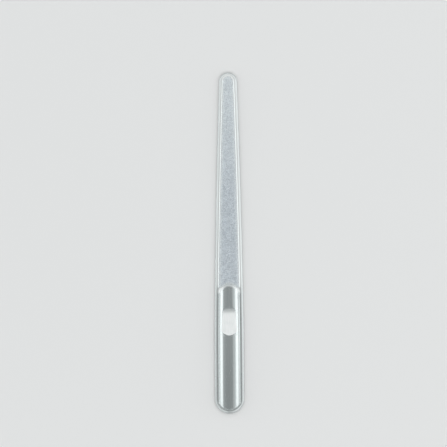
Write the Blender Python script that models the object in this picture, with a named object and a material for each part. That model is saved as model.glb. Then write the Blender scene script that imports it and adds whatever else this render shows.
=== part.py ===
"""Sapphire nail file: one pressed steel body with an abrasive layer bonded to each face of its blade.

Frame, in metres: the file lies on its back. X runs across it, +Y runs to the tip and +Z out of the
front face. The origin is under the middle of the file, on the surface that it lies on.
"""
import math

import bmesh
import bpy

# Plan of the whole file
FILE_LENGTH = 0.1520
HANDLE_WIDTH = 0.0129
TIP_WIDTH = 0.0079
STRAIGHT_HANDLE_LENGTH = 0.0300
TAPER_POWER = 1.5

# Steel sheet: the blade keeps the full thickness, the rim and the handle are coined thinner
BLADE_THICKNESS = 0.0012
RIM_THICKNESS = 0.0005
EDGE_ROUND = 0.00022
RIM_WIDTH = 0.00105
PAD_SLOPE_WIDTH = 0.00070

# Half-round ridge pressed up in the handle, hollow from the back
RIDGE_HEIGHT = 0.0024
RIDGE_SIDE_MARGIN = 0.0012
RIDGE_BUTT_MARGIN = 0.0014
RIDGE_END_FROM_BUTT = 0.0573
RIDGE_FOOT_ROUND = 0.0010
RIDGE_WALL_WIDTH = 0.0010
RIDGE_WALL_EDGE_SOFT = 0.00025

# Thumb rest pressed into the ridge, from its upper end down to its lip
REST_FROM_RIDGE_END = 0.0088
REST_LENGTH = 0.0137
REST_RAMP_LENGTH = 0.0032
REST_RAMP_DEPTH = 0.00060
REST_DEPTH = 0.00090
REST_LIP_LENGTH = 0.0013
REST_LIP_BOW = 0.0016
REST_BLEND_LENGTH = 0.0030
REST_EDGE_SHARE = 0.35
REST_FALL_START_SHARE = 0.15

# Abrasive on both faces of the blade
BOND_THICKNESS = 0.00010
GRIT_THICKNESS = 0.00015
BOND_INSET = 0.00008
GRIT_INSET = 0.00012
RIDGE_CLEARANCE = 0.00040
HORN_ROUND = 0.00035

# Steps along round ends, sides and profiles
CAP_STEPS = 20
TAPER_STEPS = 16
FOOT_STEPS = 4
CROWN_STEPS = 9
CORNER_STEPS = 6
EDGE_STEPS = 3
PLAIN_STATION_STEP = 0.0030
REST_STATION_STEP = 0.0011
LIP_STATION_STEP = 0.00025

CUT_OVERRUN = 0.0005
MERGE_DISTANCE = 0.00001

# Levels
BLADE_BACK_Z = GRIT_THICKNESS + BOND_THICKNESS
BLADE_FRONT_Z = BLADE_BACK_Z + BLADE_THICKNESS
MIDDLE_Z = (BLADE_BACK_Z + BLADE_FRONT_Z) / 2
RIM_BACK_Z = MIDDLE_Z - RIM_THICKNESS / 2
RIM_FRONT_Z = MIDDLE_Z + RIM_THICKNESS / 2

# How far the bond coat's edge lies inside the file's outline
BOND_EDGE_INSET = RIM_WIDTH + PAD_SLOPE_WIDTH + BOND_INSET

# Places along the file
TIP_Y = FILE_LENGTH / 2
BUTT_Y = -FILE_LENGTH / 2
TIP_CENTRE_Y = TIP_Y - TIP_WIDTH / 2
BUTT_CENTRE_Y = BUTT_Y + HANDLE_WIDTH / 2
TAPER_START_Y = BUTT_Y + STRAIGHT_HANDLE_LENGTH
RIDGE_END_Y = BUTT_Y + RIDGE_END_FROM_BUTT
REST_TOP_Y = RIDGE_END_Y - REST_FROM_RIDGE_END
REST_BOTTOM_Y = REST_TOP_Y - REST_LENGTH


def clear_scene():
    for thing in list(bpy.data.objects):
        bpy.data.objects.remove(thing, do_unlink=True)


def spread(start, end, steps):
    """Evenly spaced values from start to end, both included."""
    return [start + (end - start) * i / steps for i in range(steps + 1)]


def spread_by(start, end, step):
    """Evenly spaced values from start to end, no further apart than step."""
    return spread(start, end, max(1, math.ceil(abs(end - start) / step)))


def smooth(share):
    """Eases from 0 to 1 with level ends."""
    share = min(max(share, 0.0), 1.0)
    return share * share * (3 - 2 * share)


def half_width(y):
    """Half the file's width at y, leaving out its round ends."""
    share = max(0.0, (y - TAPER_START_Y) / (TIP_CENTRE_Y - TAPER_START_Y))
    return (HANDLE_WIDTH - (HANDLE_WIDTH - TIP_WIDTH) * share ** TAPER_POWER) / 2


def arc(centre_y, across, along, from_degrees, to_degrees, steps):
    """Points on an ellipse about (0, centre_y); 0 degrees is at +X and 90 at +Y."""
    points = []
    for degrees in spread(from_degrees, to_degrees, steps):
        angle = math.radians(degrees)
        points.append((across * math.cos(angle), centre_y + along * math.sin(angle)))
    return points


def mirrored(side):
    """The same stretch of outline on the other side of the file, in running order."""
    return [(-x, y) for x, y in reversed(side)]


def taper_side(from_y, to_y, inset):
    """The +X side of the outline, moved in by inset, from from_y to to_y."""
    return [(half_width(y) - inset, y) for y in spread(from_y, to_y, TAPER_STEPS)]


def file_outline():
    """The whole file, anticlockwise from its +X side."""
    side = [(HANDLE_WIDTH / 2, BUTT_CENTRE_Y)] + taper_side(TAPER_START_Y, TIP_CENTRE_Y, 0)
    tip = arc(TIP_CENTRE_Y, TIP_WIDTH / 2, TIP_WIDTH / 2, 0, 180, CAP_STEPS)[1:-1]
    butt = arc(BUTT_CENTRE_Y, HANDLE_WIDTH / 2, HANDLE_WIDTH / 2, 180, 360, CAP_STEPS)[1:-1]
    return side + tip + mirrored(side) + butt


def ridge_half_width(y):
    return half_width(y) - RIDGE_SIDE_MARGIN


def ridge_end_centre():
    """Centre of the ridge's round upper end; its radius depends on the width there."""
    centre_y = RIDGE_END_Y - ridge_half_width(RIDGE_END_Y)
    return RIDGE_END_Y - ridge_half_width(centre_y)


def horn_centre():
    """Centre of the +X horn's round end, where the bond coat's side and its hollow lower end meet."""
    end_y = ridge_end_centre()
    clear_radius = ridge_half_width(end_y) + RIDGE_CLEARANCE
    inner_x = half_width(end_y) - BOND_EDGE_INSET - 2 * HORN_ROUND
    y = end_y + math.sqrt(max(0.0, clear_radius ** 2 - inner_x ** 2))
    return half_width(y) - BOND_EDGE_INSET - HORN_ROUND, y


def side_and_tip(corner, from_y, inset):
    """An outline from the +X corner round the tip to the -X corner."""
    side = corner + taper_side(from_y, TIP_CENTRE_Y, inset)
    tip_radius = TIP_WIDTH / 2 - inset
    tip = arc(TIP_CENTRE_Y, tip_radius, tip_radius, 0, 180, CAP_STEPS)[1:-1]
    return side + tip + mirrored(side)


def horn_arc(radius, from_degrees):
    x, y = horn_centre()
    return [(x + dx, dy) for dx, dy in arc(y, radius, radius, from_degrees, 0, CORNER_STEPS)[:-1]]


def pad_outline(grow):
    """The blade's thick pad: the bond coat's outline moved out by grow, its end hidden under the ridge."""
    corner = horn_arc(HORN_ROUND + grow, -90)
    return side_and_tip(corner, horn_centre()[1], BOND_EDGE_INSET - grow)


def layer_outline(shrink):
    """An abrasive layer: two round horns flank the ridge's round end. The bond coat's shrink is 0."""
    horn_x, horn_y = horn_centre()
    horn_round = HORN_ROUND - shrink
    outline = side_and_tip(horn_arc(horn_round, -180), horn_y, BOND_EDGE_INSET + shrink)
    end_y = ridge_end_centre()
    clear_radius = ridge_half_width(end_y) + RIDGE_CLEARANCE + shrink
    start = math.degrees(math.atan2(horn_y - end_y, horn_x - horn_round))
    return outline + arc(end_y, clear_radius, clear_radius, 180 - start, start, CAP_STEPS)[1:-1]


def skin(name, rings, close_last=True):
    """Skins a stack of matching rings and closes its ends; a last ring that folds shut needs no face."""
    shape = bmesh.new()
    grid = [[shape.verts.new(point) for point in ring] for ring in rings]
    count = len(rings[0])
    for lower, upper in zip(grid, grid[1:]):
        for i in range(count):
            j = (i + 1) % count
            shape.faces.new((lower[i], lower[j], upper[j], upper[i]))
    shape.faces.new(reversed(grid[0]))
    if close_last:
        shape.faces.new(grid[-1])
    bmesh.ops.remove_doubles(shape, verts=shape.verts, dist=MERGE_DISTANCE)
    bmesh.ops.recalc_face_normals(shape, faces=shape.faces)
    mesh = bpy.data.meshes.new(name)
    shape.to_mesh(mesh)
    shape.free()
    return mesh


def level(outline, z):
    return [(x, y, z) for x, y in outline]


def slab(name, outline, from_z, to_z):
    return skin(name, [level(outline, from_z), level(outline, to_z)])


def pad_mesh(name):
    """The pad stands out of both faces of the rim, with a slope all round."""
    foot = pad_outline(BOND_INSET + PAD_SLOPE_WIDTH)
    top = pad_outline(BOND_INSET)
    back = [level(top, BLADE_BACK_Z), level(foot, RIM_BACK_Z)]
    front = [level(foot, RIM_FRONT_Z), level(top, BLADE_FRONT_Z)]
    return skin(name, back + front)


def soft_min(one, other, soft):
    """The lower of two heights, with a soft edge where they meet."""
    overlap = soft - abs(one - other)
    if overlap <= 0:
        return min(one, other)
    return min(one, other) - overlap ** 2 / (4 * soft)


def ridge_arcs(foot_round):
    """Across the handle the ridge is a fillet and a crown: its half width, steepest angle and crown radius."""
    half = HANDLE_WIDTH / 2 - RIDGE_SIDE_MARGIN
    steepest = 2 * math.atan(RIDGE_HEIGHT / half)
    return half, steepest, half / math.sin(steepest) - foot_round


def crown_height(share, foot_round):
    """The ridge's height at a share of its half width, from 0 on the crown line to 1 at the foot."""
    half, steepest, crown_radius = ridge_arcs(foot_round)
    inwards = half * (1 - share)
    if inwards < foot_round * math.sin(steepest):
        return foot_round - math.sqrt(foot_round ** 2 - inwards ** 2)
    return RIDGE_HEIGHT - crown_radius + math.sqrt(crown_radius ** 2 - (half * share) ** 2)


def ridge_shares(foot_round):
    """Shares of the half width at which the ridge's rings lie, from the foot to the crown line."""
    half, steepest, crown_radius = ridge_arcs(foot_round)
    foot = [1 - foot_round * math.sin(angle) / half for angle in spread(0, steepest, FOOT_STEPS)[:-1]]
    crown = [crown_radius * math.sin(angle) / half for angle in spread(steepest, 0, CROWN_STEPS)]
    return foot + crown


def walled_height(x, y, foot_round, setback):
    """The ridge's height over its foot at a point: round across, with a steep wall round each end."""
    straight_y = min(max(y, BUTT_CENTRE_Y), ridge_end_centre())
    across = ridge_half_width(straight_y)
    height = crown_height(min(abs(x) / across, 1.0), foot_round)
    if y == straight_y:
        return height
    along = across if y > straight_y else BUTT_CENTRE_Y - BUTT_Y - RIDGE_BUTT_MARGIN
    inwards = along * (1 - math.hypot(x / across, (y - straight_y) / along)) - setback
    risen = min(max(inwards / RIDGE_WALL_WIDTH, 0.0), 1.0)
    return soft_min(height, RIDGE_HEIGHT * smooth(risen), RIDGE_WALL_EDGE_SOFT * 4 * risen * (1 - risen))


def steady_fall(share):
    """From 0 to 1 at a steady rate, after a level start."""
    start = REST_FALL_START_SHARE
    return (math.hypot(share, start) - start) / (math.hypot(1, start) - start)


def rest_depth(y):
    """How deep the thumb rest is at y: a soft ramp onto a floor that falls steadily, then the lip."""
    down = REST_TOP_Y - y
    floor_end = REST_LENGTH - REST_LIP_LENGTH
    if down <= 0 or down >= REST_LENGTH:
        return 0.0
    if down > floor_end:
        return REST_DEPTH * smooth((REST_LENGTH - down) / REST_LIP_LENGTH)
    ramp = REST_RAMP_DEPTH * smooth(down / REST_RAMP_LENGTH)
    return ramp + (REST_DEPTH - REST_RAMP_DEPTH) * steady_fall(down / floor_end)


def rest_bow(y, share):
    """The lip bends towards the tip at its sides, and the stations about it bend with it."""
    above = (REST_TOP_Y - y) / (REST_LENGTH - REST_LIP_LENGTH)
    below = (y - (REST_BOTTOM_Y - REST_BLEND_LENGTH)) / REST_BLEND_LENGTH
    return REST_LIP_BOW * share ** 2 * smooth(above) * smooth(below)


def pressed_height(height, depth):
    """Presses a height on the ridge down to the rest's flat floor, with a soft edge."""
    return soft_min(height, RIDGE_HEIGHT - depth, REST_EDGE_SHARE * depth)


def ridge_stations():
    """Places along the straight part of the ridge, closer together in the thumb rest."""
    floor_end = REST_BOTTOM_Y + REST_LIP_LENGTH
    stretches = [
        (BUTT_CENTRE_Y, REST_BOTTOM_Y - REST_BLEND_LENGTH, PLAIN_STATION_STEP),
        (REST_BOTTOM_Y - REST_BLEND_LENGTH, REST_BOTTOM_Y, REST_STATION_STEP),
        (REST_BOTTOM_Y, floor_end, LIP_STATION_STEP),
        (floor_end, REST_TOP_Y, REST_STATION_STEP),
        (REST_TOP_Y, ridge_end_centre(), PLAIN_STATION_STEP),
    ]
    stations = []
    for low, high, step in stretches:
        stations += spread_by(low, high, step)[:-1]
    return stations + [ridge_end_centre()]


def ridge_ring(share):
    """The ridge's plan, shrunk towards its middle line: share 1 is the foot and 0 the crown line."""
    end_y = ridge_end_centre()
    end_radius = ridge_half_width(end_y)
    butt_across = ridge_half_width(BUTT_CENTRE_Y)
    butt_along = BUTT_CENTRE_Y - BUTT_Y - RIDGE_BUTT_MARGIN
    side = []
    for y in ridge_stations():
        side.append((ridge_half_width(y) * share, y + rest_bow(y, share)))
    upper = arc(end_y, end_radius * share, end_radius * share, 0, 180, CAP_STEPS)[1:-1]
    lower = arc(BUTT_CENTRE_Y, butt_across * share, butt_along * share, 180, 360, CAP_STEPS)[1:-1]
    return side + upper + mirrored(side) + lower


def ridge_depths():
    """The thumb rest's depth at each point of a ridge ring."""
    side = [rest_depth(y) for y in ridge_stations()]
    cap = [0.0] * (CAP_STEPS - 1)
    return side + cap + side[::-1] + cap


def ridge_mesh(name, sheet, foot_z, skirt_z):
    """A ridge-shaped solid: a skirt from skirt_z up to the foot at foot_z, and the pressed crown above it.

    Its rounds and walls lie a sheet's thickness inside the ridge's outer face, or on it where sheet is 0.
    """
    foot_round = RIDGE_FOOT_ROUND + sheet
    depths = ridge_depths()
    rings = [level(ridge_ring(1), skirt_z)]
    for share in ridge_shares(foot_round):
        ring = []
        for (x, y), depth in zip(ridge_ring(share), depths):
            height = walled_height(x, y, foot_round, sheet)
            ring.append((x, y, foot_z + pressed_height(height, depth)))
        rings.append(ring)
    return skin(name, rings, close_last=False)


def material(name, colour, metallic, roughness):
    made = bpy.data.materials.new(name)
    made.use_nodes = True
    surface = made.node_tree.nodes["Principled BSDF"]
    surface.inputs["Base Color"].default_value = (*colour, 1.0)
    surface.inputs["Metallic"].default_value = metallic
    surface.inputs["Roughness"].default_value = roughness
    return made


def add_piece(name, mesh, surface):
    piece = bpy.data.objects.new(name, mesh)
    bpy.context.scene.collection.objects.link(piece)
    mesh.materials.append(surface)
    return piece


def add_tool(name, mesh):
    """A solid that only shapes another piece."""
    tool = bpy.data.objects.new(name, mesh)
    bpy.context.scene.collection.objects.link(tool)
    tool.hide_render = True
    tool.display_type = "WIRE"
    return tool


def combine(piece, tool, operation):
    step = piece.modifiers.new(tool.name, "BOOLEAN")
    step.object = tool
    step.operation = operation
    step.solver = "EXACT"


def make_steel_body(steel):
    """The sheet: a plate with rounded edges, the blade's thick pad, and the ridge with its hollow back."""
    body = add_piece("steel_body", slab("steel_body", file_outline(), RIM_BACK_Z, RIM_FRONT_Z), steel)
    rounding = body.modifiers.new("rounded_edge", "BEVEL")
    rounding.width = EDGE_ROUND
    rounding.segments = EDGE_STEPS
    rounding.limit_method = "ANGLE"
    rounding.angle_limit = math.radians(60)
    pad = add_tool("blade_pad", pad_mesh("blade_pad"))
    ridge = add_tool("handle_ridge", ridge_mesh("handle_ridge", 0, RIM_FRONT_Z, MIDDLE_Z))
    hollow_floor_z = BLADE_BACK_Z - CUT_OVERRUN
    hollow_mesh = ridge_mesh("handle_hollow", RIM_THICKNESS, RIM_BACK_Z, hollow_floor_z)
    hollow = add_tool("handle_hollow", hollow_mesh)
    combine(body, pad, "UNION")
    combine(body, ridge, "UNION")
    combine(body, hollow, "DIFFERENCE")


def make_abrasive(side, steel_z, outwards, bond, grit):
    """One face's bond coat, flat on the steel, and its layer of grains, flat on the bond coat."""
    bond_z = steel_z + outwards * BOND_THICKNESS
    grit_z = bond_z + outwards * GRIT_THICKNESS
    bond_name = side + "_bond_coat"
    grit_name = side + "_sapphire_grit"
    add_piece(bond_name, slab(bond_name, layer_outline(0), steel_z, bond_z), bond)
    add_piece(grit_name, slab(grit_name, layer_outline(GRIT_INSET), bond_z, grit_z), grit)


def shade_round_pieces():
    for piece in bpy.context.scene.objects:
        piece.data.shade_smooth()
        piece.data.set_sharp_from_angle(angle=math.radians(50))


def main():
    clear_scene()
    steel = material("polished_steel", (0.62, 0.63, 0.64), 1.0, 0.16)
    bond = material("bond_metal", (0.60, 0.61, 0.61), 1.0, 0.35)
    grit = material("sapphire_grains", (0.48, 0.52, 0.54), 0.0, 0.45)
    make_steel_body(steel)
    make_abrasive("front", BLADE_FRONT_Z, 1, bond, grit)
    make_abrasive("back", BLADE_BACK_Z, -1, bond, grit)
    shade_round_pieces()


main()
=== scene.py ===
import math

import bmesh
import bpy
from mathutils import Euler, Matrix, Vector


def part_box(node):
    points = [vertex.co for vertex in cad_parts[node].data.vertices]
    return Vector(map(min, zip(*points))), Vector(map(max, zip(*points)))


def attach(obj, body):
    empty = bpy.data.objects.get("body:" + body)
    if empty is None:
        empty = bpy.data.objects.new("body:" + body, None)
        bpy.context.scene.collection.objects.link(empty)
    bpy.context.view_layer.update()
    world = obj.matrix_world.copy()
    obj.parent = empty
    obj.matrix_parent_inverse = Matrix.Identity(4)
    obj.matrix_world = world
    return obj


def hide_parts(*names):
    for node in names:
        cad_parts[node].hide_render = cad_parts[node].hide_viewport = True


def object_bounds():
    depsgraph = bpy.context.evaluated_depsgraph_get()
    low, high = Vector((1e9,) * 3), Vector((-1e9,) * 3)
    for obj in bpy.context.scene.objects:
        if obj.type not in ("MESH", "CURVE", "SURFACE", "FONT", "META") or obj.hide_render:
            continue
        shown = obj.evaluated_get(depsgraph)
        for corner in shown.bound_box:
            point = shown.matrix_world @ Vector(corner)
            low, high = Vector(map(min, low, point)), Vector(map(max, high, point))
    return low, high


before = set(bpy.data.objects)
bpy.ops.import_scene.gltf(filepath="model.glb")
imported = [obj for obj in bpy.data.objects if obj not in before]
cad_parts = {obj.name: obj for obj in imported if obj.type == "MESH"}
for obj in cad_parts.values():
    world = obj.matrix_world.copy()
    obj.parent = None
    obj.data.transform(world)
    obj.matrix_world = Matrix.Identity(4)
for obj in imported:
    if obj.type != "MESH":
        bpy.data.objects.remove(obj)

# Looks of the sapphire nail file: polished pressed steel with crushed sapphire bonded to both faces of its
# blade. Lengths are in metres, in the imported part's own frame: +Y runs to the tip and +Z out of the front.
BODY = "root"
cad_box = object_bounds()

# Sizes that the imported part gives
steel_low, steel_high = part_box("steel_body")
bond_low, bond_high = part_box("front_bond_coat")
grit_low, grit_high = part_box("front_sapphire_grit")
TIP_Y = steel_high.y
BUTT_Y = steel_low.y
HANDLE_WIDTH = steel_high.x - steel_low.x
BLADE_FRONT_Z = bond_low.z
BLADE_BACK_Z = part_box("back_bond_coat")[1].z
RIDGE_TOP_Z = steel_high.z
BOND_THICKNESS = bond_high.z - bond_low.z
GRIT_THICKNESS = grit_high.z - grit_low.z

# Plan of the file
TIP_WIDTH = 0.0079
STRAIGHT_HANDLE_LENGTH = 0.0300
TAPER_POWER = 1.5

# Rim round the whole file, bevelled at its front edge, and the blade's pad that stands out of it
RIM_THICKNESS = 0.0005
BACK_EDGE_ROUND = 0.00008
BEVEL_WIDTH = 0.00058
BEVEL_DEGREES = 28.2
RIM_WIDTH = 0.00105
PAD_SLOPE_WIDTH = 0.00070
PAD_SLOPE_ROUND_SHARE = 0.22
BACK_PAD_FADE_WIDTH = 0.00026
RIDGE_PAD_BLEND = 0.00008

# Half-round ridge pressed up in the handle, with a steep wall round each end
RIDGE_SIDE_MARGIN = 0.0012
RIDGE_BUTT_MARGIN = 0.0014
RIDGE_END_FROM_BUTT = 0.0578
RIDGE_FOOT_ROUND = 0.0010
RIDGE_WALL_WIDTH = 0.00055
RIDGE_WALL_EDGE_SOFT = 0.0021

# Thumb rest pressed into the ridge: a ramp, a floor that falls, and a lip that bends towards the tip
REST_FROM_RIDGE_END = 0.0093
REST_LENGTH = 0.0137
REST_RAMP_LENGTH = 0.0032
REST_RAMP_DEPTH = 0.00060
REST_DEPTH = 0.00090
REST_LIP_LENGTH = 0.0013
REST_LIP_BOW = 0.0016
REST_BLEND_LENGTH = 0.0030
REST_EDGE_SHARE = 0.35
REST_FALL_START_SHARE = 0.15

# Finish of the steel, as shares of satin from 0, polished, to 1, and how far these and the wear reach
REST_SATIN_FULL_DEPTH = 0.00004
REST_SATIN_FROM_TOP = 0.0011
REST_SATIN_FADE_LENGTH = 0.0034
HANDLE_RIM_SATIN_SHARE = 0.18
BLADE_SATIN_SHARE = 0.52
BLADE_SATIN_BEFORE_RIDGE_END = 0.0055
BLADE_SATIN_FADE_LENGTH = 0.0070
BEVEL_SATIN_PART = 0.35
SIDE_SLOPE_SATIN_SHARE = 0.12
# Satin round the tip, on the ridge's upper end and in its corner is partly painted light: its pale colour
# paints highlights and lightens shade
TIP_SLOPE_SATIN_SHARE = 1.0
TIP_SLOPE_FADE_LENGTH = TIP_WIDTH / 4
RIDGE_END_SATIN_SHARE = 0.75
RIDGE_END_SATIN_REACH = 0.0018
RIDGE_END_FADE_LENGTH = 0.0024
CORNER_SATIN_REACH = 0.0006
WEAR_REACH = 0.0011

# Bond coats
BOND_INSET = 0.00008
RIDGE_CLEARANCE = 0.00030
HORN_ROUND = 0.00035
COAT_EDGE_ROUND = 0.00006

# Grains: how they crowd and vary, how deep they are bedded, and how far in from the field's edge they are
# lightened with painted light
GRAIN_SIZE = 0.00021
GRAIN_SPACING = 0.000075
GRAINS_PER_SQUARE_METRE = 75e6
CLUMPS_PER_METRE = 1500
CLUMP_NOISE_LOW = 0.35
CLUMP_NOISE_HIGH = 0.62
BARE_DENSITY_SHARE = 0.60
SHARD_SIDES = 3
SMALLEST_SHARE = 0.60
LARGEST_SHARE = 1.45
GRAIN_CENTRE_SHARE = 0.2
GRAIN_BED_SHARE = 0.5
GRIT_EDGE_WIDTH = 0.0016
GRIT_HOLLOW_EDGE_WIDTH = 0.0010
GRAIN_SEED = 7

# Mesh steps round ends and edges, across the steel, and along the coats. Rings follow the outline down to
# the ring inset, and are narrowed from there to the middle line.
CAP_STEPS = 40
BACK_EDGE_STEPS = 3
BEVEL_STEPS = 8
CREST_STEPS = 5
RIM_STEPS = 3
SLOPE_STEPS = 10
FOOT_STEPS = 14
CROWN_STEPS = 16
COAT_SIDE_STEPS = 48
COAT_CAP_STEPS = 30
COAT_EDGE_STEPS = 3
HORN_STEPS = 8
RING_INSET = 0.0032
MERGE_DISTANCE = 0.000001

# Colours of the steel, polished and satin; the satin's near-white colours are partly its dull finish's own
# tone and partly painted light
STREAK_DARK = (0.56, 0.60, 0.60)
STREAK_LIGHT = (0.62, 0.66, 0.66)
HAZED_STEEL = (0.53, 0.575, 0.58)
HANDLED_STEEL = (0.45, 0.48, 0.48)
SCRATCHED_STEEL = (0.76, 0.78, 0.78)
SATIN_AND_SHEEN_DARK = (0.94, 0.965, 0.96)
SATIN_AND_SHEEN_LIGHT = (1.0, 1.0, 1.0)
BRUSHED_SATIN = (0.78, 0.80, 0.80)

# Colours of the bond and the grains
BOND_DARK = (0.70, 0.745, 0.78)
BOND_LIGHT = (0.88, 0.92, 0.95)
BOND_PATCH = (0.43, 0.46, 0.49)
GRAIN_DARK = (0.76, 0.84, 0.91)
GRAIN_LIGHT = (0.97, 0.99, 1.0)
GRAIN_PATCH = (0.36, 0.41, 0.46)
# Painted light: the grains' colour along the field's sides and round the ridge's hollow
GRAIN_PAINTED_LIGHT_AT_EDGE = (0.96, 0.99, 0.99)
# Painted light: the grains' colour towards the tip
GRAIN_PAINTED_LIGHT_NEAR_TIP = (0.93, 0.97, 0.98)
SAPPHIRE_IOR = 1.77

# How strongly each colour takes up its masks
HAZE_SHARE = 0.35
FILM_SHARE = 0.45
SCRATCH_SHARE = 0.5
BRUSHED_SHARE = 0.60
BOND_PATCH_SHARE = 0.5
GRAIN_PATCH_SHARE = 0.72
GRAIN_EDGE_LIGHT_SHARE = 0.7
GRAIN_TIP_LIGHT_SHARE = 0.60

# Roughness from one end of a mask to the other, and what marks, scuffs and scratches add to it
POLISHED_ROUGHNESS = (0.14, 0.22)
SATIN_ROUGHNESS = (0.66, 0.80)
BOND_ROUGHNESS = (0.58, 0.76)
GRAIN_ROUGHNESS = (0.18, 0.50)
MARK_ROUGHNESS = 0.05
SCUFF_ROUGHNESS = 0.16
SCRATCH_ROUGHNESS = 0.12

# Scratches: their directions, and the stretch of the noise that makes one
SCRATCH_DEGREES = (14, -31)
SCRATCH_NOISE_LOW = 0.67
SCRATCH_NOISE_HIGH = 0.74

# Places where the steel's film ends towards the tip, and where painted light makes the grains lighter
# towards it
FILM_FULL_Y = -0.070
FILM_END_Y = -0.040
TIP_LIGHT_FROM_Y = 0.020
TIP_LIGHT_FULL_Y = 0.060

# Photo: its frame's width, the scale in it, the place that it is centred on and the file's lean in it
PHOTO_WIDTH_PX = 447
METRES_PER_PX = 0.00044627
CAMERA_PLACE = (-0.0023, 0.0087)
CAMERA_LENS = 180.0
CAMERA_CLIP_START = 0.05
CAMERA_CLIP_END = 20.0
PHOTO_LEAN_DEGREES = -0.3

# Light: radiance of the plain surroundings overhead, and low down at the file's sides, past its tip and
# past its butt, how high up these reach in full, as a sine, and how they fade above that
CEILING_LEVEL = 0.45
SIDE_WALL_LEVEL = 0.77
TIP_WALL_LEVEL = 0.62
BUTT_WALL_LEVEL = 0.36
WALL_TOP_SINE = 0.40
CEILING_CURVE = 1.7
LIGHT_COLOUR = (0.97, 1.0, 1.0, 1.0)

# Lamps and floor
LAMP_DISTANCE = 0.8
SIDE_LAMP_LENGTH = 0.9
END_LAMP_LENGTH = 0.5
END_LAMP_TURN = 28
FLOOR_Z = -0.00001
FLOOR_REACH = 3
FLOOR_COLOUR = (0.86, 0.86, 0.86)

# Places
RIM_FRONT_Z = (BLADE_BACK_Z + BLADE_FRONT_Z + RIM_THICKNESS) / 2
RIM_BACK_Z = RIM_FRONT_Z - RIM_THICKNESS
PAD_RISE = BLADE_FRONT_Z - RIM_FRONT_Z
RIDGE_HEIGHT = RIDGE_TOP_Z - RIM_FRONT_Z
TIP_CENTRE_Y = TIP_Y - TIP_WIDTH / 2
BUTT_CENTRE_Y = BUTT_Y + HANDLE_WIDTH / 2
TAPER_START_Y = BUTT_Y + STRAIGHT_HANDLE_LENGTH
RIDGE_END_Y = BUTT_Y + RIDGE_END_FROM_BUTT
REST_TOP_Y = RIDGE_END_Y - REST_FROM_RIDGE_END
REST_BOTTOM_Y = REST_TOP_Y - REST_LENGTH
BEVEL_DROP = BEVEL_WIDTH * math.tan(math.radians(BEVEL_DEGREES))
CREST_RADIUS = (RIM_THICKNESS - BACK_EDGE_ROUND - BEVEL_DROP) / (1 - math.cos(math.radians(BEVEL_DEGREES)))
EDGE_ACROSS = BEVEL_WIDTH + CREST_RADIUS * math.sin(math.radians(BEVEL_DEGREES))
BOND_EDGE_INSET = RIM_WIDTH + PAD_SLOPE_WIDTH + BOND_INSET
FILE_MIDDLE = (cad_box[0] + cad_box[1]) / 2


def spread(start, end, steps):
    """Evenly spaced values from start to end, both included."""
    return [start + (end - start) * i / steps for i in range(steps + 1)]


def smooth(share):
    """Eases from 0 to 1 with level ends."""
    share = min(max(share, 0.0), 1.0)
    return share * share * (3 - 2 * share)


def rounded_ramp(share):
    """Rises from 0 to 1 at a steady rate, with a short round at each end."""
    share = min(max(share, 0.0), 1.0)
    turn = PAD_SLOPE_ROUND_SHARE
    rate = 1 / (1 - turn)
    if share > 1 - turn:
        return 1 - rate * (1 - share) ** 2 / (2 * turn)
    if share < turn:
        return rate * share ** 2 / (2 * turn)
    return rate * (share - turn / 2)


def soft_min(one, other, soft):
    """The lower of two heights, with a soft edge where they meet."""
    overlap = soft - abs(one - other)
    if overlap <= 0:
        return min(one, other)
    return min(one, other) - overlap ** 2 / (4 * soft)


def soft_max(one, other, soft):
    """The higher of two heights, with a soft corner where they meet."""
    return -soft_min(-one, -other, soft)


# Plan of the file

def half_width(y):
    """Half the file's width at y, leaving out its round ends."""
    share = max(0.0, (y - TAPER_START_Y) / (TIP_CENTRE_Y - TAPER_START_Y))
    return (HANDLE_WIDTH - (HANDLE_WIDTH - TIP_WIDTH) * share ** TAPER_POWER) / 2


def arc(centre_y, radius, from_degrees, to_degrees, steps):
    """Points on a circle about (0, centre_y); 0 degrees is at +X and 90 at +Y."""
    angles = [math.radians(degrees) for degrees in spread(from_degrees, to_degrees, steps)]
    return [(radius * math.cos(angle), centre_y + radius * math.sin(angle)) for angle in angles]


def ridge_half_width(y):
    """Half the ridge's width at y, leaving out its round ends."""
    return half_width(y) - RIDGE_SIDE_MARGIN


def ridge_end_centre():
    """Centre of the ridge's round upper end; its radius depends on the width there."""
    centre_y = RIDGE_END_Y - ridge_half_width(RIDGE_END_Y)
    return RIDGE_END_Y - ridge_half_width(centre_y)


RIDGE_TOP_CENTRE_Y = ridge_end_centre()


def horn_centre():
    """Centre of the +X horn's round end, where the bond coat's side and its hollow lower end meet."""
    clear_radius = ridge_half_width(RIDGE_TOP_CENTRE_Y) + RIDGE_CLEARANCE
    inner_x = half_width(RIDGE_TOP_CENTRE_Y) - BOND_EDGE_INSET - 2 * HORN_ROUND
    y = RIDGE_TOP_CENTRE_Y + math.sqrt(clear_radius ** 2 - inner_x ** 2)
    return half_width(y) - BOND_EDGE_INSET - HORN_ROUND, y


HORN_X, HORN_Y = horn_centre()


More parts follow.
